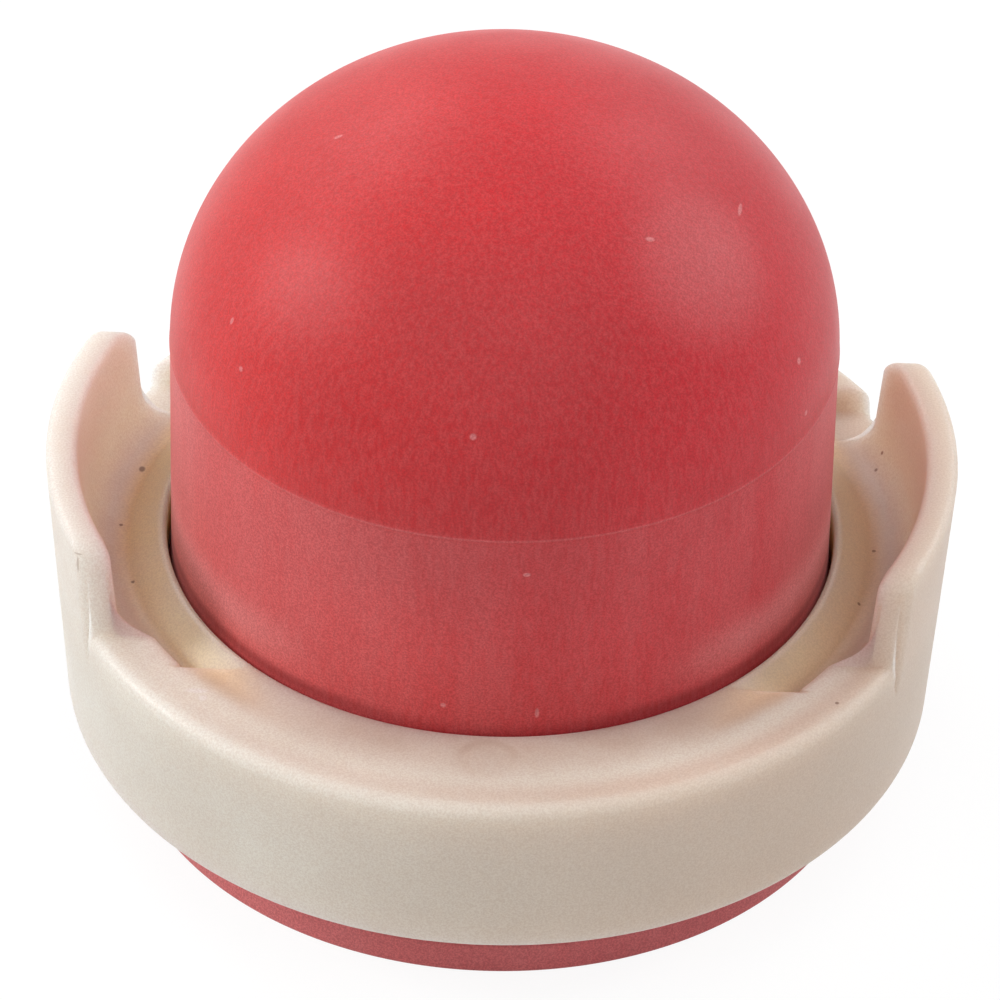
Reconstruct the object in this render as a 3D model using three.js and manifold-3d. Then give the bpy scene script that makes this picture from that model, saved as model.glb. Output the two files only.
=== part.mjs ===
// Primer bulb of a small engine: a hollow rubber bulb held down by a nylon collar with two ears.
// Millimetres, +Z up along the bulb's axis. The origin is the middle of the mounting face under
// the bulb's foot, and the two ears stand on the X axis.

import * as THREE from 'three';
import { mergeVertices } from 'three/addons/utils/BufferGeometryUtils.js';
import Module from 'manifold-3d';

// Rubber bulb
const domeRadius = 11.0;          // at the mould's parting line
const domeRise = 9.62;            // from the parting line to the crown, half an ellipse
const wallRise = 7.65;            // from the collar's top to the parting line
const wallDraft = 0.11;           // how much wider the side wall is at its lower end
const wallThickness = 1.8;
const footLedge = 1.74;           // how far the thick foot stands out under the collar's plate
const footShow = 2.83;            // how much of the foot shows below the collar
const beadHeight = 1.25;          // sealing bead round the mounting face
const beadRounding = 0.2;
const grooveHeight = 0.6;         // groove above the bead
const grooveDepth = 0.5;
const footRounding = 0.5;         // upper outer edge of the foot
const mouthChamfer = 0.5;         // lower edge of the air chamber

// Nylon collar
const collarHeight = 6.12;
const skirtThickness = 1.7;       // round the foot, at the collar's lower edge
const collarDraft = 0.27;         // how much wider it is where the rim begins to round
const plateThickness = 1.9;       // top plate round the hole
const rimRounding = 0.45;
const lowerRounding = 0.3;
const holeRounding = 0.2;
const counterboreChamfer = 0.3;

// Pocket sunk into the collar's top round each ear. It runs out through the rim from the ear's front
// end back, and goes on in front of the ear as a narrower crescent.
const pocketFront = 8.4;          // from the middle to its front end
const pocketBack = 8.1;
const pocketDepth = 0.8;
const pocketSlope = 1.1;          // floor falls from the hole's lip over this width
const pocketRounding = 0.5;       // floor's outer edge, where it runs out through the rim
const crescentWidth = 1.7;        // from the hole's lip
const crescentWallSlope = 0.2;    // width over which the crescent's outer wall rises

// Ears, which stand a little in front of the pockets' middle
const earHeight = 3.45;           // above the collar's top
const earThickness = 1.05;
const earLean = 0.18;             // how far the outside leans out over its height
const earFrontGap = 1.3;          // ear's front end to the pocket's
const earBackGap = 1.85;
const earTaper = 0.25;            // how far each end leans in over its height
const earFrontCorner = 0.8;
const earBackCorner = 1.3;
const earEdge = 0.25;             // broken edge along the ear's top
const earFillet = 1.3;            // inside, where the ear meets the pocket's floor

// Clearances
const holeClearance = 0.15;       // side wall to the collar's hole
const footClearance = 0.2;        // foot to the collar's counterbore and plate

const segments = 72;              // round the axis
const domeSteps = 14;             // from the parting line to the crown
const roundSteps = 6;             // in a large rounded corner
const edgeSteps = 4;              // in a small one
const overcut = 1;                // how far a cutting shape runs past what it cuts

const wallFootRadius = domeRadius + wallDraft;
const footRadius = wallFootRadius + footLedge;
const holeRadius = wallFootRadius + holeClearance;
const counterboreRadius = footRadius + footClearance;
const collarRadius = counterboreRadius + skirtThickness;
const rimRadius = collarRadius + collarDraft;
const earTopRadius = rimRadius + earLean;

const collarBottom = footShow;
const collarTop = collarBottom + collarHeight;
const earFront = earFrontGap - pocketFront;
const earBack = pocketBack - earBackGap;
const rimHeight = collarTop - rimRounding;
const plateUnderside = collarTop - plateThickness;
const footHeight = plateUnderside - footClearance;
const partingHeight = collarTop + wallRise;
const earTop = collarTop + earHeight;
const pocketFloor = collarTop - pocketDepth;
const lip = holeRadius + holeRounding;
const pocketEdge = pocketFloor - pocketRounding;
const earRoot = pocketEdge - earEdge;     // the ear reaches down inside the rim to here

const wasm = await Module();
wasm.setup();

// Points of a circular or elliptical arc, angles in degrees from the outward direction upwards.
function arc(centreR, centreZ, radiusR, radiusZ, from, to, steps) {
    const points = [];
    for (let i = 0; i <= steps; i++) {
        const angle = THREE.MathUtils.degToRad(from + (to - from) * i / steps);
        points.push([centreR + radiusR * Math.cos(angle), centreZ + radiusZ * Math.sin(angle)]);
    }
    return points;
}

function solidOf(geometry) {
    geometry.deleteAttribute('normal');
    geometry.deleteAttribute('uv');
    const merged = mergeVertices(geometry);
    const index = merged.index.array;
    const triangles = [];
    for (let i = 0; i < index.length; i += 3) {
        const [a, b, c] = [index[i], index[i + 1], index[i + 2]];
        if (a !== b && b !== c && c !== a) triangles.push(a, b, c);
    }
    return new wasm.Manifold(new wasm.Mesh({
        numProp: 3,
        vertProperties: Float32Array.from(merged.attributes.position.array),
        triVerts: Uint32Array.from(triangles),
    }));
}

// Turns an outline of [radius, height] points, closed on itself, about the Z axis.
function turned(outline) {
    const points = [...outline, outline[0]].map(([r, z]) => new THREE.Vector2(r, z));
    return solidOf(new THREE.LatheGeometry(points, segments).rotateX(Math.PI / 2));
}

function box(minCorner, maxCorner) {
    const size = new THREE.Vector3().subVectors(maxCorner, minCorner);
    const centre = new THREE.Vector3().addVectors(minCorner, maxCorner).multiplyScalar(0.5);
    return solidOf(new THREE.BoxGeometry(size.x, size.y, size.z).translate(centre.x, centre.y, centre.z));
}

function meshOf(name, solid, material) {
    const { vertProperties, triVerts } = solid.getMesh();
    const geometry = new THREE.BufferGeometry();
    geometry.setAttribute('position', new THREE.BufferAttribute(vertProperties, 3));
    geometry.setIndex(new THREE.BufferAttribute(triVerts, 1));
    geometry.computeVertexNormals();
    const mesh = new THREE.Mesh(geometry, material);
    mesh.name = name;
    return mesh;
}

// One rubber moulding: dome, side wall and foot ring round an air chamber that is open below.
function bulb() {
    const chamberRadius = domeRadius - wallThickness;
    const neckRadius = footRadius - grooveDepth;
    const grooveTop = beadHeight + grooveHeight;
    const bead = Math.min(beadRounding, grooveDepth, beadHeight / 2);
    return turned([
        [chamberRadius + mouthChamfer, 0],
        ...arc(footRadius - bead, bead, bead, bead, -90, 0, edgeSteps),
        ...arc(footRadius - bead, beadHeight - bead, bead, bead, 0, 90, edgeSteps),
        [neckRadius, beadHeight],
        [neckRadius, grooveTop],
        [footRadius, grooveTop + grooveDepth],
        ...arc(footRadius - footRounding, footHeight - footRounding, footRounding, footRounding,
            0, 90, edgeSteps),
        [wallFootRadius, footHeight],
        ...arc(0, partingHeight, domeRadius, domeRise, 0, 90, domeSteps),
        ...arc(0, partingHeight, chamberRadius, domeRise - wallThickness, 90, 0, domeSteps),
        [chamberRadius, mouthChamfer],
    ]);
}

// Outside radius of the collar at a height below the rim's rounding.
function outsideAt(height) {
    return collarRadius + collarDraft * (height - collarBottom) / (rimHeight - collarBottom);
}

function collarRing() {
    return turned([
        [counterboreRadius + counterboreChamfer, collarBottom],
        ...arc(collarRadius - lowerRounding, collarBottom + lowerRounding, lowerRounding, lowerRounding,
            -90, 0, edgeSteps),
        ...arc(rimRadius - rimRounding, rimHeight, rimRounding, rimRounding, 0, 90, roundSteps),
        ...arc(holeRadius + holeRounding, collarTop - holeRounding, holeRounding, holeRounding,
            90, 180, edgeSteps),
        [holeRadius, plateUnderside],
        [counterboreRadius, plateUnderside],
        [counterboreRadius, collarBottom + counterboreChamfer],
    ]);
}

// The pocket's whole turn: its floor slopes from the hole's lip, then runs level out through the rim.
function pocketTurn() {
    const above = earTop + overcut;
    const outside = earTopRadius + overcut;
    return turned([
        [lip, collarTop],
        [lip + pocketSlope, pocketFloor],
        ...arc(rimRadius - pocketRounding, pocketEdge, pocketRounding, pocketRounding, 90, 0, edgeSteps),
        [outside, pocketEdge],
        [outside, above],
        [lip, above],
    ]);
}

function crescentTurn() {
    const above = collarTop + overcut;
    return turned([
        [lip, collarTop],
        [lip + pocketSlope, pocketFloor],
        [lip + crescentWidth - crescentWallSlope, pocketFloor],
        [lip + crescentWidth, collarTop],
        [lip + crescentWidth, above],
        [lip, above],
    ]);
}

// The ear's wall as a whole turn, with the fillet inside at its foot.
function earTurn() {
    const inner = rimRadius - earThickness;
    return turned([
        [inner - earFillet, earRoot],
        [outsideAt(earRoot), earRoot],
        [rimRadius, rimHeight],
        [earTopRadius, earTop - earEdge],
        [earTopRadius - earEdge, earTop],
        [earTopRadius - earThickness + earEdge, earTop],
        [earTopRadius - earThickness, earTop - earEdge],
        ...arc(inner - earFillet, pocketFloor + earFillet, earFillet, earFillet, 0, -90, roundSteps),
    ]);
}

// The ear seen from the side: its ends lean in upwards to round corners. -Y is the front.
function earOutline(side) {
    const leanUpTo = (corner) => earTaper * (1 - corner / (earTop - pocketFloor));
    const shape = new THREE.Shape();
    shape.moveTo(earFront, earRoot);
    shape.lineTo(earBack, earRoot);
    shape.lineTo(earBack, pocketFloor);
    shape.lineTo(earBack - leanUpTo(earBackCorner), earTop - earBackCorner);
    shape.quadraticCurveTo(earBack - earTaper, earTop, earBack - earTaper - earBackCorner, earTop);
    shape.lineTo(earFront + earTaper + earFrontCorner, earTop);
    shape.quadraticCurveTo(
        earFront + earTaper, earTop, earFront + leanUpTo(earFrontCorner), earTop - earFrontCorner);
    shape.lineTo(earFront, pocketFloor);
    const length = earTopRadius + overcut;
    const geometry = new THREE.ExtrudeGeometry(
        shape, { depth: length, bevelEnabled: false, curveSegments: roundSteps });
    const standing = new THREE.Matrix4().makeBasis(
        new THREE.Vector3(0, 1, 0), new THREE.Vector3(0, 0, 1), new THREE.Vector3(1, 0, 0));
    geometry.applyMatrix4(standing);
    if (side < 0) geometry.translate(-length, 0, 0);
    return solidOf(geometry);
}

// The slab between this place in front and the pockets' back end.
function acrossFrom(front) {
    const reach = earTopRadius + overcut;
    return box(
        new THREE.Vector3(-reach, front, collarBottom),
        new THREE.Vector3(reach, pocketBack, earTop + overcut));
}

// One nylon moulding: the ring, its two pockets and the ear that stands in each.
function retainerCollar() {
    const wall = earTurn();
    let collar = collarRing()
        .subtract(pocketTurn().intersect(acrossFrom(earFront)))
        .subtract(crescentTurn().intersect(acrossFrom(-pocketFront)));
    for (const side of [-1, 1]) collar = collar.add(wall.intersect(earOutline(side)));
    return collar;
}

const rubber = new THREE.MeshStandardMaterial({ color: 0xc9474b, roughness: 0.62, metalness: 0 });
const nylon = new THREE.MeshStandardMaterial({ color: 0xd9cdb9, roughness: 0.45, metalness: 0 });

const primerBulb = new THREE.Group();
primerBulb.add(
    meshOf('bulb', bulb(), rubber),
    meshOf('retainer_collar', retainerCollar(), nylon),
);

export default primerBulb;
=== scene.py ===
"""Studio view of a small engine's primer bulb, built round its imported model.

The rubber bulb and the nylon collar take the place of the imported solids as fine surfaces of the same
size. Each is a closed profile of radii and heights carried round the upright axis of the bulb.
Lengths are in metres, and the two ears stand on the X axis.
"""

import math

import bpy
import numpy as np
from mathutils import Matrix, Vector


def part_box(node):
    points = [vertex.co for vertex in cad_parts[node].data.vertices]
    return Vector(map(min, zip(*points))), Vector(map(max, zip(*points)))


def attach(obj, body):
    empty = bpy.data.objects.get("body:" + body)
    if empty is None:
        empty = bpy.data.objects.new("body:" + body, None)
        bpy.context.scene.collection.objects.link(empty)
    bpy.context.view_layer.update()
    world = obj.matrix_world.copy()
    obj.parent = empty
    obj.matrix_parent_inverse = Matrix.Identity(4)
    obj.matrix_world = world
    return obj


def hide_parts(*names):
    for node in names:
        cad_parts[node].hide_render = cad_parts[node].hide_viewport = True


bl_info = {
    "name": "Primer Bulb",
    "version": (1, 0, 0),
    "blender": (4, 5, 0),
    "location": "3D View > Sidebar > Primer Bulb",
    "description": "Builds a primer bulb with its retaining collar, their finishes and a small studio",
    "category": "Object",
}

MM = 0.001
EJECTOR_MARK = (0.13, -12.6, 8.95)      # middle of the round mark in front, in millimetres
CONTACT_SHADE_HEIGHT = 9.05 * MM              # middle of the painted shade where the wall meets the collar
PALE_BAND_HEIGHT = 10.3 * MM                 # middle of the paler band above it
BULB_COLUMNS = 256
BULB_OUTSIDE_ROWS = 130                 # of the bulb's profile, from the crown down
CROWN_ROWS = (9, 20, 27)                # down the pocket's slope, on to the rim, and down to the side
FAN_COLUMNS = 46                        # from a pocket's end to the middle of the front or back
WORLD_LIGHT = 0.22
FLOOR_SHADE = 0.12

# Name, azimuth and elevation in degrees, distance and size in metres, and power in watts
LAMPS = [
    ("left_box", -90.4, 28.2, 0.5, 0.16, 1.15), ("right_box", 103.1, 31.6, 0.5, 0.12, 0.62),
    ("front_box", 0.0, 52.0, 0.5, 0.8, 1.4), ("back_left_box", -140.0, 40.0, 0.5, 0.3, 0.7),
    ("back_right_box", 140.0, 40.0, 0.5, 0.3, 0.55)]

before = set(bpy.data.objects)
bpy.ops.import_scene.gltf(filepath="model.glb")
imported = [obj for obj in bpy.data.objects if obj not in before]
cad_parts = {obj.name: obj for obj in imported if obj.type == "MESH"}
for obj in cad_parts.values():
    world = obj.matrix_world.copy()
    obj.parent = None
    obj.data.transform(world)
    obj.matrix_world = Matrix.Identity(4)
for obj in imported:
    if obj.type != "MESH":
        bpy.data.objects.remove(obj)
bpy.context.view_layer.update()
_, BULB_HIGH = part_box("bulb")
COLLAR_LOW, COLLAR_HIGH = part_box("retainer_collar")


def length(name, description, millimetres):
    """A length setting, given in millimetres and kept in metres."""
    return bpy.props.FloatProperty(
        name=name, description=description, default=millimetres * MM, min=0.0, precision=5, unit="LENGTH")


def colour(name, description, red, green, blue):
    """A colour setting, given as linear red, green and blue."""
    return bpy.props.FloatVectorProperty(
        name=name, description=description, default=(red, green, blue), min=0.0, max=1.0, subtype="COLOR")


class BulbSettings(bpy.types.PropertyGroup):
    """Sizes and colours of the rubber bulb."""

    dome_radius: length("Dome radius", "Radius at the mould's parting line", 11.0)
    parting_height: length("Parting height", "Height of the mould's parting line", 16.6)
    parting_ridge: length("Parting ridge", "How far the parting line stands out", 0.02)
    wall_draft: length("Wall draft", "How much wider the side wall is at its lower end", 0.11)
    wall_thickness: length("Wall thickness", "Thickness of the dome and the side wall", 1.8)
    bead_height: length("Bead height", "Height of the sealing bead", 1.25)
    bead_rounding: length("Bead rounding", "Rounding of the bead's edges", 0.2)
    groove_height: length("Groove height", "Height of the groove above the bead", 0.6)
    groove_depth: length("Groove depth", "Depth of the groove", 0.5)
    foot_height: length("Foot height", "Top of the foot inside the collar", 6.85)
    foot_rounding: length("Foot rounding", "Rounding of the foot's upper edge", 0.5)
    mouth_chamfer: length("Mouth chamfer", "Chamfer at the air chamber's mouth", 0.5)
    # The two colours below differ as painted light: lighter on the left, the lamp's side, and darker on the
    # right as painted shade.
    red: colour("Red", "The rubber's colour on the left", 0.69, 0.026, 0.026)
    shaded_crimson: colour("Crimson", "The rubber's colour on the right", 0.62, 0.024, 0.036)
    # This darker red is the rubber's mottle and also the painted shade on the dome's front.
    deep_red_and_shade: colour("Deep red", "Darker patches of the rubber", 0.40, 0.021, 0.026)
    # This pale colour is real dust and lint, and also painted light and painted sheen on the wall's sides and
    # a painted highlight.
    pale_dust_and_sheen: colour("Bloom", "Pale dust on the rubber", 0.86, 0.42, 0.42)
    # This dark colour is the painted shade where the rubber meets the collar, and the grain's dark side.
    contact_shade_and_grain: colour("Dark line", "Where the rubber meets the collar", 0.22, 0.012, 0.014)


class CollarSettings(bpy.types.PropertyGroup):
    """Sizes and colours of the nylon collar."""

    hole_radius: length("Hole radius", "Radius of the hole that the bulb stands in", 11.26)
    counterbore_radius: length("Counterbore radius", "Inside of the skirt round the foot", 13.05)
    lower_radius: length("Lower radius", "Outside at the lower edge", 14.75)
    top: length("Top", "Height of the flat top", 8.95)
    plate_thickness: length("Plate thickness", "Thickness of the top plate", 1.9)
    rim_rounding: length("Rim rounding", "Rounding of the upper outer edge", 0.45)
    lower_rounding: length("Lower rounding", "Rounding of the lower outer edge", 0.3)
    hole_rounding: length("Hole rounding", "Rounding of the hole's lip", 0.2)
    counterbore_chamfer: length("Counterbore chamfer", "Chamfer at the skirt's inner edge", 0.3)
    pocket_front: length("Pocket front", "From the middle to a pocket's front end", 8.4)
    pocket_back: length("Pocket back", "From the middle to a pocket's back end", 8.1)
    pocket_depth: length("Pocket depth", "Depth of the pockets in the top", 0.8)
    pocket_slope: length("Pocket slope", "Width over which a pocket's floor falls", 1.1)
    pocket_rounding: length("Pocket rounding", "Rounding at the pocket's outer edge", 0.5)
    pocket_step: length("Pocket step", "Width of the soft step at a pocket's end", 0.3)
    crescent_width: length("Crescent width", "From the hole's lip, in front of the ear", 1.7)
    crescent_wall: length("Crescent wall", "Width over which the crescent's outer wall rises", 0.35)
    ear_thickness: length("Ear thickness", "Thickness of each ear", 1.05)
    ear_front: length("Ear front", "From the middle to an ear's front end", 7.1)
    ear_back: length("Ear back", "From the middle to an ear's back end", 6.25)
    ear_taper: length("Ear taper", "How far each end leans in over its height", 0.25)
    ear_front_corner: length("Front corner", "Rounding of an ear's upper front corner", 0.8)
    ear_back_corner: length("Back corner", "Rounding of an ear's upper back corner", 1.3)
    ear_edge: length("Ear edge", "Rounding of an ear's edges", 0.25)
    ear_fillet: length("Ear fillet", "Fillet inside at an ear's foot", 1.3)
    ejector_radius: length("Ejector radius", "Radius of the round ejector mark in front", 1.0)
    ejector_depth: length("Ejector depth", "Depth of the ejector mark", 0.04)
    # The two colours below differ as painted light: lighter on the left, the lamp's side, and darker on the
    # right as painted shade. Cream is also the painted highlight on the hole's lip.
    cream: colour("Cream", "The nylon's colour on the left", 0.80, 0.77, 0.69)
    shaded_cream_right: colour("Cream right", "The nylon's colour on the right", 0.71, 0.585, 0.485)
    pinkish: colour("Pinkish", "Mottle in the nylon", 0.70, 0.61, 0.53)
    # Painted light: the insides of the ears are paler, standing in for light through the thin nylon.
    lit_ear_inside: colour("Yellowish", "Inside of the ears", 0.90, 0.92, 0.82)
    # The wide stain round the bulb also carries a painted red reflection of the bulb near the hole, and is
    # darker on the right as painted shade.
    flush: colour("Flush", "Wide stain round the bulb, on the left", 0.66, 0.54, 0.44)
    stain_and_reflection_shaded_right: colour("Flush right", "Wide stain round the bulb, on the right", 0.51, 0.38, 0.29)
    # The tan stain in the pockets is lightened as painted light against the pockets' shade, and is darker on
    # the right as painted shade.
    tan: colour("Tan", "Stain in the left pocket", 0.93, 0.71, 0.40)
    tan_shaded_right: colour("Tan right", "Stain in the right pocket", 0.84, 0.60, 0.36)
    # This dark colour is the painted shade in front of the ears and on the ejector mark's back edge, and the
    # grain's dark side.
    shade_and_grain_brown: colour("Brown", "Deepest stain and the grain's dark side", 0.40, 0.24, 0.15)
    dirt: colour("Dirt", "Specks of dirt", 0.16, 0.06, 0.025)
    # Colour of a small pale mark on the top, in front of the left pocket.
    pale: colour("Pale", "A fresh nick", 0.86, 0.84, 0.80)


class StageSettings(bpy.types.PropertyGroup):
    """Camera, lamps and floor."""

    distance: length("Distance", "Camera to its target", 180.0)
    target_side: bpy.props.FloatProperty(
        name="Target side", description="Target along X", default=-0.032 * MM, precision=6, unit="LENGTH")
    target_height: length("Target height", "Target above the floor", 9.76)
    azimuth: bpy.props.FloatProperty(
        name="Azimuth", description="Camera round the object from the front, towards +X",
        default=math.radians(1.63), unit="ROTATION")
    elevation: bpy.props.FloatProperty(
        name="Elevation", description="Camera above the horizon", default=math.radians(37.63),
        unit="ROTATION")
    roll: bpy.props.FloatProperty(
        name="Roll", description="How far the picture's top leans right", default=math.radians(1.313),
        unit="ROTATION")
    lens: bpy.props.FloatProperty(
        name="Lens", description="Focal length in millimetres on a 36 mm sensor", default=192.44, min=1.0)
    floor_size: length("Floor size", "Side of the square floor", 6000.0)


# Profiles

def arc(centre, radii, start, end, count):
    """Points of an ellipse's arc: the centre plus (radii[0] cos a, radii[1] sin a), a in degrees."""
    angle = np.radians(np.linspace(start, end, count))
    return np.stack([centre[0] + radii[0] * np.cos(angle), centre[1] + radii[1] * np.sin(angle)], axis=-1)


def line(start, end, count):
    """Evenly spaced points of a straight line, both ends among them."""
    share = np.linspace(0.0, 1.0, count)[:, None]
    return (1.0 - share) * np.array(start) + share * np.array(end)


def smooth(x):
    """The step 3x^2 - 2x^3, with x held between 0 and 1."""
    held = np.clip(x, 0.0, 1.0)
    return held * held * (3.0 - 2.0 * held)


def joined(parts):
    """Strings stretches of a profile together and drops a stretch's first point where it repeats the last."""
    points = np.concatenate(parts)
    step = np.linalg.norm(np.diff(points, axis=0), axis=-1)
    return points[np.concatenate([[True], step > 1e-7])]


# Meshes

def mesh_object(name, vertices, faces):
    """A new smooth-shaded object of that mesh, at the origin."""
    mesh = bpy.data.meshes.new(name)
    mesh.from_pydata(vertices, [], faces)
    mesh.update()
    mesh.shade_smooth()
    piece = bpy.data.objects.new(name, mesh)
    bpy.context.scene.collection.objects.link(piece)
    return piece


def grid_faces(rows, columns, ring):
    """Quads of a grid whose columns close on themselves, and its rows too where it is a ring."""
    last = rows if ring else rows - 1
    i, j = np.meshgrid(np.arange(last), np.arange(columns), indexing="ij")
    below, beside = (i + 1) % rows, (j + 1) % columns
    corners = [i * columns + j, below * columns + j, below * columns + beside, i * columns + beside]
    return np.stack(corners, axis=-1).reshape(-1, 4)


def carried(name, radius, height, angle, ring):
    """A profile carried round the Z axis: point (i, j) is (r cos t, r sin t, z) with r, z and t of row i
    and column j. A ring's profile closes on itself. Any other starts and ends in a pole on the axis."""
    rows, columns = radius.shape
    points = np.stack([radius * np.cos(angle), radius * np.sin(angle), height], axis=-1).reshape(-1, 3)
    faces = grid_faces(rows, columns, ring).tolist()
    if not ring:
        poles = np.array([[0.0, 0.0, height[0, 0]], [0.0, 0.0, height[-1, 0]]])
        top, bottom = rows * columns, rows * columns + 1
        first = np.arange(columns)
        after = (first + 1) % columns
        start = (rows - 1) * columns
        faces += np.stack([np.full(columns, top), first, after], axis=-1).tolist()
        faces += np.stack([np.full(columns, bottom), start + after, start + first], axis=-1).tolist()
        points = np.concatenate([points, poles])
    return mesh_object(name, points, faces)


# The rubber bulb

def bulb_profile(size):
    """Half section of the bulb as radii and heights, from the crown's outside down round the foot and up
    to the crown's inside: quarter ellipses, straight walls and quarter circles. The parting line adds
    the ridge h exp(-(z / w)^2) to the radius."""
    foot_radius, crown = BULB_HIGH.x, BULB_HIGH.z
    rise = crown - size.parting_height
    low_radius = size.dome_radius + size.wall_draft
    chamber = size.dome_radius - size.wall_thickness
    neck = foot_radius - size.groove_depth
    groove_top = size.bead_height + size.groove_height
    bead, shoulder = size.bead_rounding, size.foot_rounding
    ridge_width = 0.06 * MM
    near = 4.0 * ridge_width
    near_angle = math.degrees(near / rise)
    points = joined([
        arc((0.0, size.parting_height), (size.dome_radius, rise), 89.3, near_angle, 90),
        arc((0.0, size.parting_height), (size.dome_radius, rise), near_angle, 0.0, 10),
        line((size.dome_radius, size.parting_height), (size.dome_radius, size.parting_height - near), 10),
        line((size.dome_radius, size.parting_height - near), (low_radius, COLLAR_HIGH.z - 4.0 * MM), 20),
        line((low_radius, COLLAR_HIGH.z - 4.0 * MM), (low_radius, size.foot_height), 6),
        line((low_radius, size.foot_height), (foot_radius - shoulder, size.foot_height), 4),
        arc((foot_radius - shoulder, size.foot_height - shoulder), (shoulder, shoulder), 90, 0, 8),
        line((foot_radius, size.foot_height - shoulder), (foot_radius, groove_top + size.groove_depth), 8),
        line((foot_radius, groove_top + size.groove_depth), (neck, groove_top), 4),
        line((neck, groove_top), (neck, size.bead_height), 4),
        arc((foot_radius - bead, size.bead_height - bead), (bead, bead), 90, 0, 10),
        arc((foot_radius - bead, bead), (bead, bead), 0, -90, 10),
        line((foot_radius - bead, 0.0), (chamber + size.mouth_chamfer, 0.0), 6),
        line((chamber + size.mouth_chamfer, 0.0), (chamber, size.mouth_chamfer), 3),
        line((chamber, size.mouth_chamfer), (chamber, size.parting_height), 20),
        arc((0.0, size.parting_height), (chamber, rise - size.wall_thickness), 0.0, 89.0, 40),
    ])
    outside = np.arange(len(points)) < BULB_OUTSIDE_ROWS
    offset = (points[:, 1] - size.parting_height) / ridge_width
    points[:, 0] += np.where(outside, size.parting_ridge * np.exp(-offset ** 2), 0.0)
    return points


def build_bulb(size):
    """The bulb's profile carried round in even steps."""
    profile = bulb_profile(size)
    turn = np.linspace(0.0, 2.0 * math.pi, BULB_COLUMNS, endpoint=False)
    radius = np.repeat(profile[:, :1], BULB_COLUMNS, axis=1)
    height = np.repeat(profile[:, 1:], BULB_COLUMNS, axis=1)
    return carried("rubber_bulb", radius, height, np.broadcast_to(turn, radius.shape), ring=False)


# The nylon collar

def stations(stops):
    """Values from the first stop to the last, each stretch in its own number of even steps. Stops are
    (value, steps to the next)."""
    stretches = [
        np.linspace(here, there, steps, endpoint=False)
        for (here, steps), (there, _) in zip(stops, stops[1:])]
    return np.concatenate(stretches + [[stops[-1][0]]])


def corner_drop(share, radius):
    """How far a rounded corner lies below its edge, where share runs from 0 at the corner's side to 1."""
    held = 1.0 - np.clip(share, 0.0, 1.0)
    return radius * (1.0 - np.sqrt(1.0 - held * held))


def plain_crown(size, rim_radius, join, counts):
    """The collar's top away from the pockets: a level flat, then a quarter circle down to the side."""
    lip = size.hole_radius + size.hole_rounding
    valley = lip + size.pocket_slope
    edge = rim_radius - size.rim_rounding
    slope, inner, outer = counts
    rim_height = size.top - size.rim_rounding
    return np.concatenate([
        line((lip, size.top), (valley, size.top), slope),
        line((valley, size.top), (edge, size.top), inner + 1)[1:],
        arc((edge, rim_height), (size.rim_rounding, size.rim_rounding), 90, 0, outer - 2)[1:],
        line((rim_radius, rim_height), join, 4)[1:],
    ])


def pocket_crown(size, join, counts):
    """The top inside a pocket: a slope down from the hole's lip, a level floor and a small rounding."""
    lip = size.hole_radius + size.hole_rounding
    valley = lip + size.pocket_slope
    floor = size.top - size.pocket_depth
    rounding = size.pocket_rounding
    slope, inner, outer = counts
    edge = join[0] - rounding
    return np.concatenate([
        line((lip, size.top), (valley, floor), slope),
        line((valley, floor), (edge, floor), inner + 1)[1:],
        arc((edge, floor - rounding), (rounding, rounding), 90, 0, outer + 1)[1:],
    ])


def crescent_crown(size, rim_radius, join, counts):
    """The top in front of an ear: the slope from the hole's lip and a level floor, a soft wall back up to
    the top, and then the plain rim."""
    lip = size.hole_radius + size.hole_rounding
    valley = lip + size.pocket_slope
    wall_start = lip + size.crescent_width - size.crescent_wall
    wall_end = lip + size.crescent_width
    floor = size.top - size.pocket_depth
    edge = rim_radius - size.rim_rounding
    slope, inner, _ = counts
    rise = line((wall_start, floor), (wall_end, size.top), 9)
    rise[:, 1] = floor + size.pocket_depth * smooth((rise[:, 0] - wall_start) / size.crescent_wall)
    plain = plain_crown(size, rim_radius, join, counts)
    return np.concatenate([
        line((lip, size.top), (valley, floor), slope),
        line((valley, floor), (wall_start, floor), 4)[1:-1],
        rise,
        line((wall_end, size.top), (edge, size.top), inner - 10)[1:],
        plain[slope + inner:],
    ])


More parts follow.
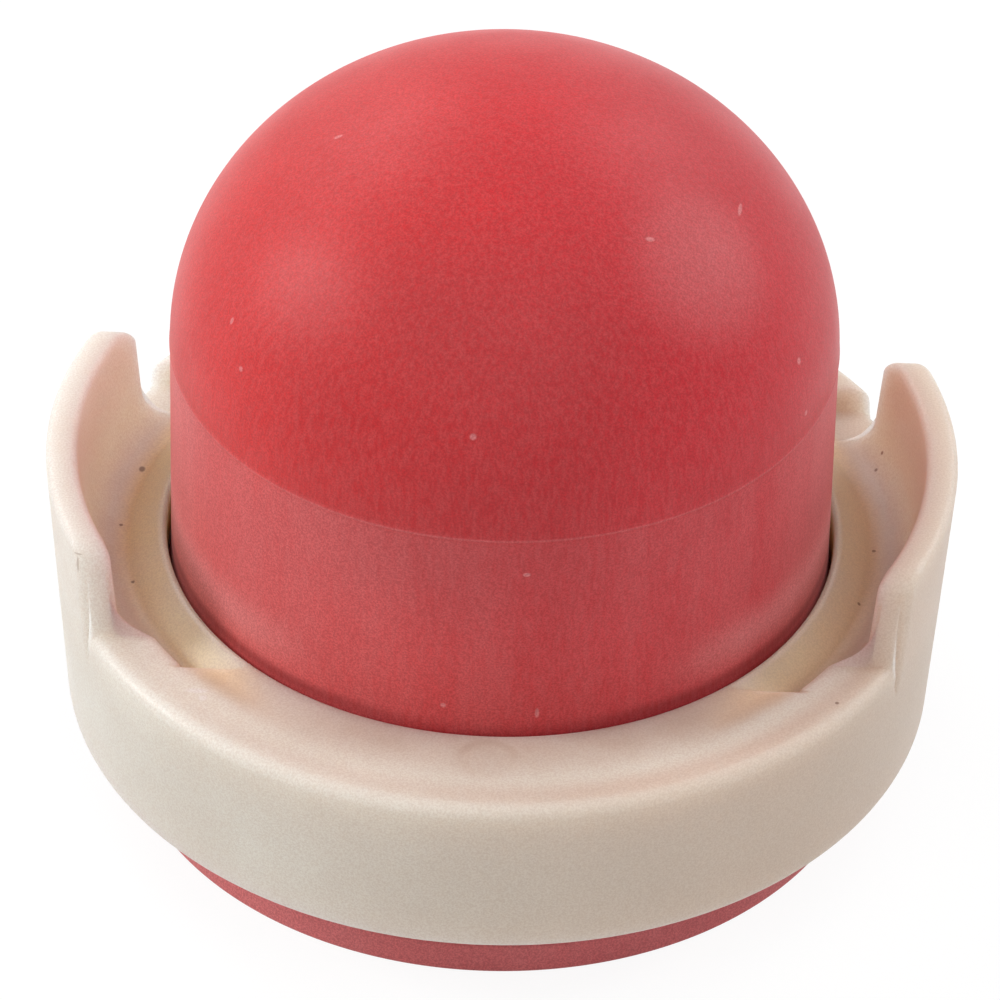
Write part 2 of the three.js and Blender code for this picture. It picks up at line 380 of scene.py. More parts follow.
def ear_crown(size, rim_radius, join, counts, ear_top, inset):
    """The top through an ear, one column for each ear_top and inset: the slope, a fillet up into the ear's
    inner face, round its top edges and down its outer face. The inset thins it near the ear's ends."""
    lip = size.hole_radius + size.hole_rounding
    valley = lip + size.pocket_slope
    floor = size.top - size.pocket_depth
    slope, inner, outer = counts
    full_top, top_radius = COLLAR_HIGH.z, COLLAR_HIGH.x
    foot_inside = rim_radius - size.ear_thickness
    edge = size.ear_edge
    rim_height = size.top - size.rim_rounding

    def lean(z, start):
        """How far a face leans out at height z."""
        return (top_radius - rim_radius) * (z - start) / (full_top - edge - start)

    columns = ear_top.shape
    ones = np.ones(columns)
    flat = line((lip, size.top), (valley, floor), slope)
    rows = [np.stack([np.full(columns, r), np.full(columns, z)], axis=-1) for r, z in flat]
    fillet_start = foot_inside - size.ear_fillet
    fillet_radii = (size.ear_fillet, size.ear_fillet)
    fillet = arc((fillet_start, floor + size.ear_fillet), fillet_radii, -90, 0, inner // 2 + 1)
    for r, z in fillet[1:]:
        share = (r - fillet_start) / size.ear_fillet
        rows.append(np.stack([r + inset * share, z * ones], axis=-1))
    face_count = inner - inner // 2
    low, high = floor + size.ear_fillet, ear_top - edge
    for step in range(1, face_count + 1):
        z = low + (high - low) * step / face_count
        rows.append(np.stack([foot_inside + lean(z, low) + inset, z], axis=-1))
    edge_count = 6
    inner_at = foot_inside + lean(high, low) + inset
    outer_at = rim_radius + lean(high, rim_height) - inset
    half = np.minimum(edge, (outer_at - inner_at) / 2.0)
    for angle in np.radians(np.linspace(180, 90, edge_count + 1))[1:]:
        across = inner_at + half + half * math.cos(angle)
        rows.append(np.stack([across, high + edge * math.sin(angle)], axis=-1))
    for angle in np.radians(np.linspace(90, 0, edge_count + 1)):
        across = outer_at - half + half * math.cos(angle)
        rows.append(np.stack([across, high + edge * math.sin(angle)], axis=-1))
    down_count = outer - 2 * edge_count - 3
    for step in range(1, down_count + 1):
        z = high + (rim_height - high) * step / down_count
        rows.append(np.stack([rim_radius + lean(z, rim_height) - inset, z], axis=-1))
    for share in (2.0 / 3.0, 1.0):
        rows.append(np.stack([
            (rim_radius - inset) * (1 - share) + join[0] * share,
            (rim_height * (1 - share) + join[1] * share) * ones], axis=-1))
    return np.stack(rows, axis=0)


def side_stations(size):
    """Places along Y of the columns that cut straight across the pockets, close together where the
    surface turns."""
    front, back = -size.ear_front, size.ear_back
    near, far, step = size.pocket_front, size.pocket_back, size.pocket_step
    taper, edge = size.ear_taper, size.ear_edge
    return stations([
        (-near - step / 2, 12), (-near + step / 2, 8), (front - 0.1 * MM, 2), (front, 10), (front + taper, 8),
        (front + taper + edge, 8), (front + taper + size.ear_front_corner, 60),
        (back - taper - size.ear_back_corner, 14), (back - taper - edge, 8), (back - taper, 10), (back, 2),
        (back + 0.1 * MM, 12), (far - step / 2, 12), (far + step / 2, 1)])


def build_collar(size):
    """The collar's closed profile carried round the axis. The profile of each column blends the plain
    top, the pocket and the ear, and a column in a pocket keeps one Y at every radius: t = asin(Y / r)."""
    rim_radius = COLLAR_HIGH.y
    bottom = COLLAR_LOW.z
    under = size.top - size.plate_thickness
    join_height = size.top - size.pocket_depth - size.pocket_rounding
    rim_height = size.top - size.rim_rounding
    join_share = (join_height - bottom) / (rim_height - bottom)
    join = (size.lower_radius + (rim_radius - size.lower_radius) * join_share, join_height)

    across = side_stations(size)
    step = size.pocket_step
    front, back = -size.ear_front, size.ear_back
    taper, edge = size.ear_taper, size.ear_edge
    end = np.where(across < 0, size.pocket_front, size.pocket_back)
    pocket_share = smooth((end + step / 2 - np.abs(across)) / step)
    ear_share = smooth((across - front) / taper) * smooth((back - across) / taper)
    from_front = across - (front + taper)
    from_back = (back - taper) - across
    drop = corner_drop(from_front / size.ear_front_corner, size.ear_front_corner) \
        + corner_drop(from_back / size.ear_back_corner, size.ear_back_corner)
    inset = corner_drop(from_front / edge, edge) + corner_drop(from_back / edge, edge)
    inset = np.minimum(inset, edge)
    ear_top = COLLAR_HIGH.z - np.where(ear_share > 0, drop, 0.0)

    plain = plain_crown(size, rim_radius, join, CROWN_ROWS)[:, None, :]
    crescent = crescent_crown(size, rim_radius, join, CROWN_ROWS)[:, None, :]
    pocket = pocket_crown(size, join, CROWN_ROWS)[:, None, :]
    pocket = np.where(across[None, :, None] < 0, crescent, pocket)
    ear = ear_crown(size, rim_radius, join, CROWN_ROWS, ear_top, inset)
    sunk = pocket + ear_share[None, :, None] * (ear - pocket)
    crown = plain + pocket_share[None, :, None] * (sunk - plain)

    fan = FAN_COLUMNS
    plain_fan = np.repeat(plain, fan, axis=1)
    crown = np.concatenate([plain_fan, crown, plain_fan], axis=1)

    lip_centre = (size.hole_radius + size.hole_rounding, size.top - size.hole_rounding)
    rounding, chamfer = size.lower_rounding, size.counterbore_chamfer
    before = joined([
        line((size.counterbore_radius, under), (size.hole_radius, under), 5),
        line((size.hole_radius, under), (size.hole_radius, lip_centre[1]), 6),
        arc(lip_centre, (size.hole_rounding, size.hole_rounding), 180, 90, 7)[:-1],
    ])
    after = joined([
        line(join, (size.lower_radius, bottom + rounding), 16)[1:],
        arc((size.lower_radius - rounding, bottom + rounding), (rounding, rounding), 0, -90, 7),
        line((size.lower_radius - rounding, bottom), (size.counterbore_radius + chamfer, bottom), 4),
        line((size.counterbore_radius + chamfer, bottom), (size.counterbore_radius, bottom + chamfer), 3),
        line((size.counterbore_radius, bottom + chamfer), (size.counterbore_radius, under), 8)[:-1],
    ])
    columns = crown.shape[1]
    profile = np.concatenate([
        np.repeat(before[:, None, :], columns, axis=1), crown, np.repeat(after[:, None, :], columns, axis=1)])
    radius, height = profile[..., 0], profile[..., 1]

    quarter = math.pi / 2.0
    fan_share = np.linspace(0.0, 1.0, fan, endpoint=False)
    front_angle = np.arcsin(across[0] / radius[:, :fan])
    back_angle = np.arcsin(across[-1] / radius[:, -fan:])
    angle = np.concatenate([
        -quarter + (front_angle + quarter) * fan_share,
        np.arcsin(across[None, :] / radius[:, fan:-fan]),
        back_angle + (quarter - back_angle) * (fan_share + 1.0 / fan)], axis=1)
    radius = np.concatenate([radius, radius[:, -2:0:-1]], axis=1)
    height = np.concatenate([height, height[:, -2:0:-1]], axis=1)
    angle = np.concatenate([angle, math.pi - angle[:, -2:0:-1]], axis=1)
    away = np.hypot(
        radius * np.cos(angle) - EJECTOR_MARK[0] * MM, radius * np.sin(angle) - EJECTOR_MARK[1] * MM)
    sunk_share = 1.0 - smooth((away / size.ejector_radius - 0.75) / 0.25)
    height = np.where(height > size.top - 1e-7, height - size.ejector_depth * sunk_share, height)
    return carried("nylon_collar", radius, height, angle, ring=True)


# Materials

def node(tree, kind, feeds, **settings):
    """A new node. Each feed is a socket to link or a value to set, by the input's name or number."""
    made = tree.nodes.new(kind)
    for name, value in settings.items():
        setattr(made, name, value)
    for socket, value in feeds.items():
        if isinstance(value, bpy.types.NodeSocket):
            tree.links.new(value, made.inputs[socket])
        else:
            made.inputs[socket].default_value = value
    return made


def sums(tree, operation, first, second=0.0):
    """One step of arithmetic on two sockets or numbers."""
    return node(tree, "ShaderNodeMath", {0: first, 1: second}, operation=operation).outputs[0]


def product(tree, first, *others):
    """Several sockets or numbers multiplied together."""
    for other in others:
        first = sums(tree, "MULTIPLY", first, other)
    return first


def ramped(tree, value, start, end, low=0.0, high=1.0):
    """A soft step from low to high as the value goes from start to end, held beyond them."""
    feeds = {"Value": value, "From Min": start, "From Max": end, "To Min": low, "To Max": high}
    made = node(tree, "ShaderNodeMapRange", feeds, interpolation_type="SMOOTHSTEP")
    return made.outputs["Result"]


def tinted(tree, share, below, above):
    """The colour below, turned to the colour above by a share from 0 to 1."""
    made = node(tree, "ShaderNodeMix", {}, data_type="RGBA")
    for socket, value in ((made.inputs[0], share), (made.inputs[6], below), (made.inputs[7], above)):
        if isinstance(value, bpy.types.NodeSocket):
            tree.links.new(value, socket)
        else:
            socket.default_value = (*value, 1.0) if socket.type == "RGBA" else value
    return made.outputs[2]


def shared_group(name, inputs, outputs, build):
    """The shader node group of that name. It is built once: inputs are (name, kind, default), outputs are
    names of values, and build gets the tree and its input sockets and gives back the output sockets."""
    group = bpy.data.node_groups.get(name)
    if group:
        return group
    group = bpy.data.node_groups.new(name, "ShaderNodeTree")
    for label, kind, default in inputs:
        socket = group.interface.new_socket(label, in_out="INPUT", socket_type=kind)
        if default is not None:
            socket.default_value = default
    for label in outputs:
        group.interface.new_socket(label, in_out="OUTPUT", socket_type="NodeSocketFloat")
    entry = group.nodes.new("NodeGroupInput")
    leave = group.nodes.new("NodeGroupOutput")
    for label, socket in zip(outputs, build(group, entry.outputs)):
        group.links.new(socket, leave.inputs[label])
    return group


VECTOR, NUMBER = "NodeSocketVector", "NodeSocketFloat"


def around_axis(tree, given):
    """Distance from the Z axis, height, side along X and its size without sign."""
    parts = node(tree, "ShaderNodeSeparateXYZ", {0: given["Position"]}).outputs
    level = node(tree, "ShaderNodeCombineXYZ", {0: parts["X"], 1: parts["Y"]}).outputs[0]
    radius = node(tree, "ShaderNodeVectorMath", {0: level}, operation="LENGTH").outputs["Value"]
    apart = sums(tree, "ABSOLUTE", parts["X"])
    return radius, parts["Z"], parts["X"], apart


def moulded_grain(tree, given):
    """Fine grain and a soft mottle, each noise from 0 to 1 about its middle, and the height of the grain."""
    fine = node(tree, "ShaderNodeTexNoise", {
        "Vector": given["Position"], "Scale": given["Grain"], "Detail": 2.0, "Roughness": 0.7})
    soft = node(tree, "ShaderNodeTexNoise", {
        "Vector": given["Position"], "Scale": given["Mottle"], "Detail": 4.0, "Roughness": 0.55})
    grain = ramped(tree, fine.outputs[0], 0.25, 0.75)
    mottle = ramped(tree, soft.outputs[0], 0.3, 0.7)
    height = sums(tree, "MULTIPLY_ADD", fine.outputs[0], 0.7)
    tree.links.new(product(tree, soft.outputs[0], 0.3), height.node.inputs[2])
    return grain, mottle, height


def soft_band(tree, given):
    """1 where the value is at the middle, falling softly to 0 at the reach either side."""
    away = sums(tree, "ABSOLUTE", sums(tree, "SUBTRACT", given["Value"], given["Middle"]))
    share = sums(tree, "DIVIDE", away, given["Reach"])
    return (ramped(tree, share, 0.0, 1.0, 1.0, 0.0),)


def small_mark(tree, given):
    """1 inside a mark about its centre and 0 outside, with the stretch to make it long, and the distance
    from the centre as a share of the reach."""
    kind = "ShaderNodeVectorMath"
    offset = node(tree, kind, {0: given["Position"], 1: given["Centre"]}, operation="SUBTRACT")
    stretched = node(tree, kind, {0: offset.outputs[0], 1: given["Stretch"]}, operation="MULTIPLY")
    away = node(tree, kind, {0: stretched.outputs[0]}, operation="LENGTH").outputs["Value"]
    share = sums(tree, "DIVIDE", away, given["Reach"])
    return ramped(tree, share, 0.45, 1.0, 1.0, 0.0), share


GROUPS = {
    "around axis": ([("Position", VECTOR, None)], ["Radius", "Height", "Side", "Apart"], around_axis),
    "moulded grain": (
        [("Position", VECTOR, None), ("Grain", NUMBER, 9000.0), ("Mottle", NUMBER, 400.0)],
        ["Grain", "Mottle", "Height"], moulded_grain),
    "soft band": (
        [("Value", NUMBER, 0.0), ("Middle", NUMBER, 0.0), ("Reach", NUMBER, 0.001)], ["Mask"], soft_band),
    "small mark": (
        [("Position", VECTOR, None), ("Centre", VECTOR, None), ("Stretch", VECTOR, (1.0, 1.0, 1.0)),
         ("Reach", NUMBER, 0.0001)],
        ["Mask", "Share"], small_mark),
}


def effect(tree, name, **feeds):
    """Places a shared group in a material and gives its output sockets."""
    inputs, outputs, build = GROUPS[name]
    made = tree.nodes.new("ShaderNodeGroup")
    made.node_tree = shared_group(name, inputs, outputs, build)
    for label, value in feeds.items():
        if isinstance(value, bpy.types.NodeSocket):
            tree.links.new(value, made.inputs[label])
        else:
            made.inputs[label].default_value = value
    return made.outputs


def marked(tree, position, colour_below, marks, colour_above, strength):
    """Small marks over a colour. Each mark is its centre and reach in millimetres, and its stretch."""
    mask = None
    for centre, reach, stretch in marks:
        one = effect(
            tree, "small mark", Position=position, Centre=[v * MM for v in centre],
            Stretch=stretch, Reach=reach * MM)["Mask"]
        mask = one if mask is None else sums(tree, "MAXIMUM", mask, one)
    return tinted(tree, product(tree, mask, strength), colour_below, colour_above)


def new_material(name):
    """An empty node material with a Principled shader and its output."""
    material = bpy.data.materials.new(name)
    material.use_nodes = True
    return material, material.node_tree.nodes["Principled BSDF"]


ROUND = (1.0, 1.0, 1.0)
# Marks on the surface: centre in millimetres, reach in millimetres and stretch
# Painted shade on the dome's front, where the side lamps light it least
FRONT_PAINTED_SHADE = ((-1.0, -10.0, 19.5), 8.0, ROUND)
# A pale scuff on the dome's right that also stands as a painted highlight
SCUFF_AND_HIGHLIGHT = ((6.37, -4.89, 23.2), 3.4, ROUND)
LINT = [
    ((-0.62, -10.24, 20.08), 0.14, ROUND), ((-8.13, -6.55, 19.62), 0.12, ROUND),
    ((-8.51, -5.29, 20.57), 0.16, (1.6, 1.6, 0.8)), ((1.18, -10.95, 15.28), 0.16, (1.0, 1.0, 1.6)),
    ((1.62, -10.97, 9.67), 0.2, (2.2, 1.0, 0.8)), ((-1.39, -11.0, 9.86), 0.12, ROUND),
    ((9.53, -4.53, 19.33), 0.15, ROUND), ((9.85, -4.8, 17.48), 0.12, ROUND),
    ((-5.42, -1.1, 24.92), 0.4, (1.0, 4.0, 4.0)), ((7.44, -2.12, 23.43), 0.5, (5.0, 1.0, 5.0)),
    ((4.61, -5.01, 24.15), 0.35, (1.0, 3.0, 4.0))]
SPECKS = [
    ((-12.44, 3.0, 8.16), 0.14, (1.0, 0.7, 1.0)), ((-12.85, -0.16, 8.16), 0.09, ROUND),
    ((-12.15, -3.21, 8.15), 0.09, ROUND), ((12.65, 0.09, 8.15), 0.09, ROUND),
    ((12.11, -2.9, 8.23), 0.09, ROUND), ((11.29, -8.99, 8.95), 0.09, ROUND),
    ((12.95, 4.75, 8.81), 0.09, ROUND), ((12.76, 4.28, 8.42), 0.09, ROUND)]
DASH = [((-13.52, -6.7, 11.62), 0.42, (8.0, 1.0, 1.0)), ((-13.52, -6.72, 12.02), 0.2, (1.0, 1.0, 5.0))]
# A small pale mark on the top, in front of the left pocket
PALE_MARK = [((-9.45, -9.7, 8.95), 0.5, (1.0, 3.2, 1.0)), ((-9.2, -10.05, 8.95), 0.2, ROUND)]


def rubber_material(size):
    """Red moulded rubber: redder on the left as painted light and a deeper red on the right as painted shade,
    paler and rougher under the parting line, with painted shade where it meets the collar, painted sheen at
    the wall's sides, a paler band above the collar, painted shade on the dome's front, a pale scuff with a
    painted highlight and specks of lint."""
    material, shader = new_material("red rubber")
    tree = material.node_tree
    position = node(tree, "ShaderNodeTexCoord", {}).outputs["Object"]
    place = effect(tree, "around axis", Position=position)
    noise = effect(tree, "moulded grain", Position=position, Grain=15000.0, Mottle=260.0)
    upright = node(tree, "ShaderNodeMapping", {"Vector": position, "Scale": (1.0, 1.0, 0.22)}).outputs[0]
    streaks = effect(tree, "moulded grain", Position=upright, Grain=6000.0, Mottle=600.0)

    # Painted light: the rubber is lighter on the left, the lamp's side, and darker on the right as painted
    # shade.
    side = ramped(tree, place["Side"], -9.0 * MM, 9.0 * MM)
    skin = tinted(tree, side, size.red, size.shaded_crimson)
    skin = tinted(tree, product(tree, noise["Mottle"], 0.22), skin, size.deep_red_and_shade)
    # Painted shade on the dome's front, where the side lamps light it least.
    skin = marked(tree, position, skin, [FRONT_PAINTED_SHADE], size.deep_red_and_shade, 0.32)
    # A pale scuff that also stands as a painted highlight on the dome's right.
    skin = marked(tree, position, skin, [SCUFF_AND_HIGHLIGHT], size.pale_dust_and_sheen, 0.1)
    wall = ramped(tree, place["Height"], size.parting_height + 0.25 * MM, size.parting_height - 0.25 * MM)
    dusty = product(tree, wall, ramped(tree, streaks["Mottle"], 0.0, 1.0, 0.05, 0.1))
    skin = tinted(tree, dusty, skin, size.pale_dust_and_sheen)
    # Painted light: the wall below the parting line is paler on the left, the lamp's side.
    lit_left_wall = product(tree, wall, ramped(tree, place["Side"], 2.0 * MM, -9.0 * MM, 0.03, 0.16))
    skin = tinted(tree, lit_left_wall, skin, size.pale_dust_and_sheen)
    # Painted sheen: the wall is paler towards its sides, where it is seen at a grazing angle.
    edge = product(tree, wall, ramped(tree, place["Apart"], 8.5 * MM, 10.6 * MM, 0.0, 0.16))
    skin = tinted(tree, edge, skin, size.pale_dust_and_sheen)
    parting = effect(tree, "soft band", Value=place["Height"], Middle=size.parting_height, Reach=0.07 * MM)
    skin = tinted(tree, product(tree, parting["Mask"], 0.14), skin, size.pale_dust_and_sheen)
    far = ramped(tree, place["Apart"], 5.0 * MM, 8.5 * MM)
    # A paler band on the wall's sides just above the collar.
    above = effect(tree, "soft band", Value=place["Height"], Middle=PALE_BAND_HEIGHT, Reach=1.5 * MM)
    skin = tinted(tree, product(tree, above["Mask"], far, 0.3), skin, size.pale_dust_and_sheen)
    # Painted shade where the wall meets the collar, strongest at the sides.
    contact_shade = effect(tree, "soft band", Value=place["Height"], Middle=CONTACT_SHADE_HEIGHT, Reach=0.42 * MM)
    beside = ramped(tree, place["Apart"], 1.0 * MM, 7.0 * MM, 0.1, 0.6)
    skin = tinted(tree, product(tree, contact_shade["Mask"], beside), skin, size.contact_shade_and_grain)
    under = ramped(tree, place["Height"], 2.7 * MM, 1.7 * MM)
    skin = tinted(tree, product(tree, under, 0.3), skin, size.pale_dust_and_sheen)
    skin = marked(tree, position, skin, LINT, size.pale_dust_and_sheen, 0.42)
    skin = tinted(tree, product(tree, streaks["Grain"], 0.07), skin, size.pale_dust_and_sheen)
    skin = tinted(tree, ramped(tree, noise["Grain"], 0.0, 1.0, 0.4, 0.0), skin, size.contact_shade_and_grain)
    tree.links.new(skin, shader.inputs["Base Color"])

    rough = sums(tree, "MULTIPLY_ADD", noise["Mottle"], 0.08)
    tree.links.new(ramped(tree, wall, 0.0, 1.0, 0.4, 0.56), rough.node.inputs[2])
    tree.links.new(rough, shader.inputs["Roughness"])
    bump = node(tree, "ShaderNodeBump", {"Strength": 0.35, "Distance": 0.02 * MM, "Height": noise["Height"]})
    tree.links.new(bump.outputs[0], shader.inputs["Normal"])
    shader.inputs["Specular IOR Level"].default_value = 0.28
    shader.inputs["Sheen Weight"].default_value = 0.1
    shader.inputs["Sheen Roughness"].default_value = 0.35
    shader.inputs["Sheen Tint"].default_value = (1.0, 0.8, 0.8, 1.0)
    return material


def nylon_material(size):
    """Natural nylon: off-white and translucent, darker on the right as painted shade, stained tan where fuel
    has stood round the bulb, with a painted red reflection of the bulb near the hole, the tan in the pockets
    lightened as painted light, the insides of the ears paler as painted light, painted shade in front of the
    ears and on the ejector mark's back edge, a painted highlight on the hole's lip, dirt specks, a round
    ejector mark in front and a small pale mark."""
    material, shader = new_material("natural nylon")
    tree = material.node_tree
    position = node(tree, "ShaderNodeTexCoord", {}).outputs["Object"]
    place = effect(tree, "around axis", Position=position)
    noise = effect(tree, "moulded grain", Position=position, Grain=15000.0, Mottle=300.0)

    # Painted light: the nylon is lighter on the left, the lamp's side, and darker and tanner on the right as
    # painted shade.
    side = ramped(tree, place["Side"], -12.0 * MM, 12.0 * MM)
    body = tinted(tree, side, size.cream, size.shaded_cream_right)
    body = tinted(tree, product(tree, noise["Mottle"], 0.3), body, size.pinkish)
    # Painted light: the insides of the ears are paler, standing in for light through the thin nylon.
    ear = ramped(tree, place["Height"], 8.0 * MM, 9.0 * MM)
    inward = ramped(tree, place["Radius"], 14.3 * MM, 13.4 * MM)
    body = tinted(tree, product(tree, ear, inward, 0.9), body, size.lit_ear_inside)

    broken = ramped(tree, noise["Mottle"], 0.0, 1.0, 0.75, 1.0)
    on_top = product(
        tree, ramped(tree, place["Height"], 7.4 * MM, 7.9 * MM),
        ramped(tree, place["Height"], 9.9 * MM, 8.7 * MM), broken)
    # A wide stain round the bulb with a painted red reflection of the bulb near the hole, darker on the right
    # as painted shade.
    wide = product(tree, on_top, ramped(tree, place["Radius"], 14.7 * MM, 12.0 * MM, 0.0, 0.9))
    body = tinted(tree, wide, body, tinted(tree, side, size.flush, size.stain_and_reflection_shaded_right))
    far = ramped(tree, place["Apart"], 6.5 * MM, 9.5 * MM)
    near = product(tree, on_top, ramped(tree, place["Radius"], 13.3 * MM, 12.5 * MM))
    # Tan stain in the pockets, lightened as painted light against their shade and darker on the right as
    # painted shade.
    stain = tinted(tree, side, size.tan, size.tan_shaded_right)
    body = tinted(tree, product(tree, near, far, 0.9), body, stain)
    depth = node(tree, "ShaderNodeSeparateXYZ", {0: position}).outputs["Y"]
    front = ramped(tree, depth, -3.0 * MM, -8.0 * MM)
    # Painted shade in the crescent in front of each ear, between the ear and the bulb.
    crescent = effect(tree, "soft band", Value=place["Radius"], Middle=12.75 * MM, Reach=0.6 * MM)["Mask"]
    body = tinted(tree, product(tree, crescent, far, front, on_top, 0.5), body, size.shade_and_grain_brown)

    # Painted highlight along the hole's lip.
    lip = effect(tree, "soft band", Value=place["Radius"], Middle=11.34 * MM, Reach=0.12 * MM)["Mask"]
    body = tinted(tree, product(tree, lip, on_top, 0.5), body, size.cream)
    ejector = effect(
        tree, "small mark", Position=position, Centre=[v * MM for v in EJECTOR_MARK],
        Reach=size.ejector_radius)
    # Painted shade on the back edge of the sunk ejector mark.
    ring = effect(tree, "soft band", Value=ejector["Share"], Middle=0.95, Reach=0.24)["Mask"]
    shaded_back_edge = ramped(tree, depth, -12.8 * MM, -11.8 * MM)
    body = tinted(tree, product(tree, ring, shaded_back_edge, 0.3), body, size.shade_and_grain_brown)
    body = marked(tree, position, body, SPECKS, size.dirt, 0.75)
    body = marked(tree, position, body, DASH, size.dirt, 0.4)
    # A small pale mark on the top, in front of the left pocket.
    body = marked(tree, position, body, PALE_MARK, size.pale, 0.7)
    body = tinted(tree, ramped(tree, noise["Grain"], 0.0, 1.0, 0.26, 0.0), body, size.shade_and_grain_brown)
    tree.links.new(body, shader.inputs["Base Color"])

    rough = sums(tree, "MULTIPLY_ADD", noise["Mottle"], 0.1)
    rough.node.inputs[2].default_value = 0.42
    tree.links.new(rough, shader.inputs["Roughness"])
    bump = node(tree, "ShaderNodeBump", {"Strength": 0.3, "Distance": 0.02 * MM, "Height": noise["Height"]})
    tree.links.new(bump.outputs[0], shader.inputs["Normal"])
    shader.inputs["Subsurface Weight"].default_value = 1.0
    shader.inputs["Subsurface Radius"].default_value = (1.0, 0.95, 0.88)
    shader.inputs["Subsurface Scale"].default_value = 2.5 * MM
    return material


def dress(piece, material, node):
    """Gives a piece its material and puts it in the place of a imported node."""
    piece.data.materials.append(material)
    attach(piece, "root")
    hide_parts(node)


# Stage

def camera_place(stage):
    """The camera's matrix: on a sphere round the target, facing it, and rolled about its own axis."""
    around, above = stage.azimuth, stage.elevation
    back = Vector((math.sin(around) * math.cos(above), -math.cos(around) * math.cos(above), math.sin(above)))
    right = Vector((math.cos(around), math.sin(around), 0.0))
    up = back.cross(right)
    across = math.cos(stage.roll) * right + math.sin(stage.roll) * up
    upward = back.cross(across)
    place = Matrix((across, upward, back)).transposed().to_4x4()
    place.translation = Vector((stage.target_side, 0.0, stage.target_height)) + stage.distance * back
    return place


def add_camera(stage):
    """The camera at the photograph's viewing angle."""
    data = bpy.data.cameras.new("camera")
    data.lens = stage.lens
    data.sensor_width = 36.0
    data.clip_start = 0.01
    data.clip_end = 20.0
    camera = bpy.data.objects.new("camera", data)
    camera.matrix_world = camera_place(stage)
    bpy.context.scene.collection.objects.link(camera)
    bpy.context.scene.camera = camera


def add_lamp(name, azimuth, elevation, distance, size, power):
    """A round area lamp on a sphere round the object, facing it. Angles are in degrees from the front."""
    data = bpy.data.lights.new(name, "AREA")
    data.shape = "DISK"
    data.size = size
    data.energy = power
    lamp = bpy.data.objects.new(name, data)
    around, above = math.radians(azimuth), math.radians(elevation)
    direction = Vector((
        math.sin(around) * math.cos(above), -math.cos(around) * math.cos(above), math.sin(above)))
    middle = Vector((0.0, 0.0, BULB_HIGH.z / 2.0))
    lamp.location = middle + distance * direction
    lamp.rotation_euler = direction.to_track_quat("Z", "Y").to_euler()
    bpy.context.scene.collection.objects.link(lamp)


def seen_ray(tree):
    """1 where a camera, glossy or transmission ray arrives and 0 for the rest, which light the object."""
    nodes, links = tree.nodes, tree.links
    path = nodes.new("ShaderNodeLightPath")
    first = nodes.new("ShaderNodeMath")
    first.operation = "MAXIMUM"
    links.new(path.outputs["Is Camera Ray"], first.inputs[0])
    links.new(path.outputs["Is Glossy Ray"], first.inputs[1])
    second = nodes.new("ShaderNodeMath")
    second.operation = "MAXIMUM"
    links.new(first.outputs[0], second.inputs[0])
    links.new(path.outputs["Is Transmission Ray"], second.inputs[1])
    return second.outputs[0]


def set_world(light):
    """A world that is white where it is seen and a plain grey light elsewhere."""
    world = bpy.data.worlds.new("studio")
    world.use_nodes = True
    bpy.context.scene.world = world
    tree = world.node_tree
    background = tree.nodes["Background"]
    background.inputs["Color"].default_value = (1.0, 1.0, 1.0, 1.0)
    strength = tree.nodes.new("ShaderNodeMapRange")
    strength.inputs["To Min"].default_value = light
    strength.inputs["To Max"].default_value = 1.0
    tree.links.new(seen_ray(tree), strength.inputs["Value"])
    tree.links.new(strength.outputs["Result"], background.inputs["Strength"])


def floor_material(shade):
    """White floor. Where it is seen it glows by 1 - shade and keeps a diffuse part of about shade, so it
    comes out white and still takes the object's shadow."""
    material = bpy.data.materials.new("white floor")
    material.use_nodes = True
    tree = material.node_tree
    tree.nodes.remove(tree.nodes["Principled BSDF"])
    pale = tree.nodes.new("ShaderNodeBsdfDiffuse")
    pale.inputs["Color"].default_value = (0.8, 0.8, 0.8, 1.0)
    dim = tree.nodes.new("ShaderNodeBsdfDiffuse")
    dim.inputs["Color"].default_value = (shade, shade, shade, 1.0)
    glow = tree.nodes.new("ShaderNodeEmission")
    glow.inputs["Strength"].default_value = 1.0 - 0.8 * shade
    seen = tree.nodes.new("ShaderNodeAddShader")
    mix = tree.nodes.new("ShaderNodeMixShader")
    tree.links.new(dim.outputs[0], seen.inputs[0])
    tree.links.new(glow.outputs[0], seen.inputs[1])
    tree.links.new(seen_ray(tree), mix.inputs[0])
    tree.links.new(pale.outputs[0], mix.inputs[1])
    tree.links.new(seen.outputs[0], mix.inputs[2])
    tree.links.new(mix.outputs[0], tree.nodes["Material Output"].inputs["Surface"])
    return material


def add_floor(stage):
    """A level square under the foot."""
    half = stage.floor_size / 2.0
    corners = [(-half, -half, 0.0), (half, -half, 0.0), (half, half, 0.0), (-half, half, 0.0)]
    floor = mesh_object("floor", corners, [(0, 1, 2, 3)])
    floor.data.materials.append(floor_material(FLOOR_SHADE))


# Add-on

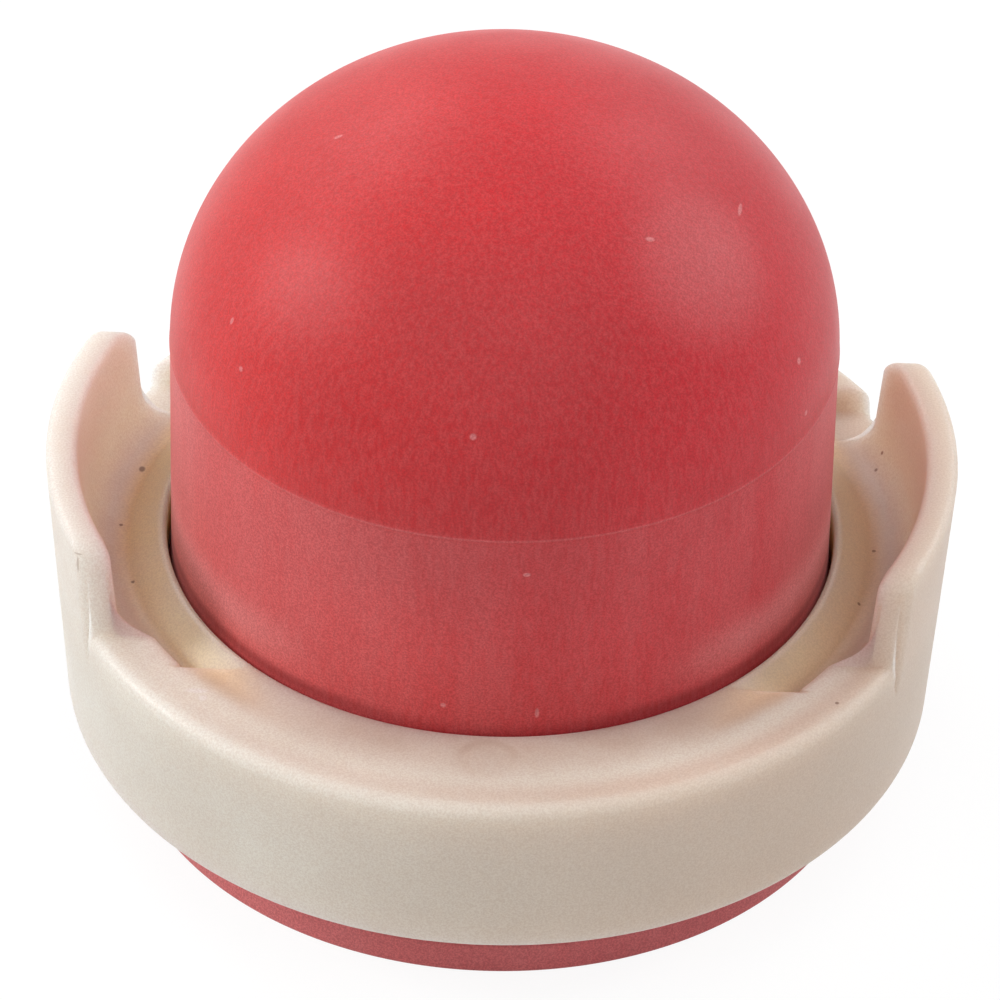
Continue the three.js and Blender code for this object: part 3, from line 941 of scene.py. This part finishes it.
class OBJECT_OT_primer_bulb_rubber(bpy.types.Operator):
    """Builds the rubber bulb"""

    bl_idname = "object.primer_bulb_rubber"
    bl_label = "Rubber Bulb"

    def execute(self, context):
        size = context.scene.primer_bulb_rubber
        dress(build_bulb(size), rubber_material(size), "bulb")
        return {"FINISHED"}


class OBJECT_OT_primer_bulb_collar(bpy.types.Operator):
    """Builds the nylon collar with its pockets and ears"""

    bl_idname = "object.primer_bulb_collar"
    bl_label = "Nylon Collar"

    def execute(self, context):
        size = context.scene.primer_bulb_collar
        dress(build_collar(size), nylon_material(size), "retainer_collar")
        return {"FINISHED"}


class OBJECT_OT_primer_bulb_stage(bpy.types.Operator):
    """Sets up the camera, the lamps and the floor"""

    bl_idname = "object.primer_bulb_stage"
    bl_label = "Studio"

    def execute(self, context):
        stage = context.scene.primer_bulb_stage
        context.scene.view_settings.view_transform = "Standard"
        add_camera(stage)
        set_world(WORLD_LIGHT)
        for lamp in LAMPS:
            add_lamp(*lamp)
        add_floor(stage)
        return {"FINISHED"}


class VIEW3D_PT_primer_bulb(bpy.types.Panel):
    """Lists the pieces and the studio"""

    bl_label = "Primer Bulb"
    bl_space_type = "VIEW_3D"
    bl_region_type = "UI"
    bl_category = "Primer Bulb"

    def draw(self, context):
        for operator in OPERATORS:
            self.layout.operator(operator.bl_idname)


OPERATORS = (OBJECT_OT_primer_bulb_rubber, OBJECT_OT_primer_bulb_collar, OBJECT_OT_primer_bulb_stage)
SETTINGS = {
    "primer_bulb_rubber": BulbSettings,
    "primer_bulb_collar": CollarSettings,
    "primer_bulb_stage": StageSettings,
}


def register():
    for kind in (*SETTINGS.values(), *OPERATORS, VIEW3D_PT_primer_bulb):
        bpy.utils.register_class(kind)
    for name, kind in SETTINGS.items():
        setattr(bpy.types.Scene, name, bpy.props.PointerProperty(type=kind))


def unregister():
    for name in SETTINGS:
        delattr(bpy.types.Scene, name)
    for kind in (VIEW3D_PT_primer_bulb, *reversed(OPERATORS), *SETTINGS.values()):
        bpy.utils.unregister_class(kind)


def main():
    """Registers the add-on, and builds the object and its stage."""
    register()
    bpy.ops.object.primer_bulb_rubber()
    bpy.ops.object.primer_bulb_collar()
    bpy.ops.object.primer_bulb_stage()


if __name__ == "__main__":
    main()
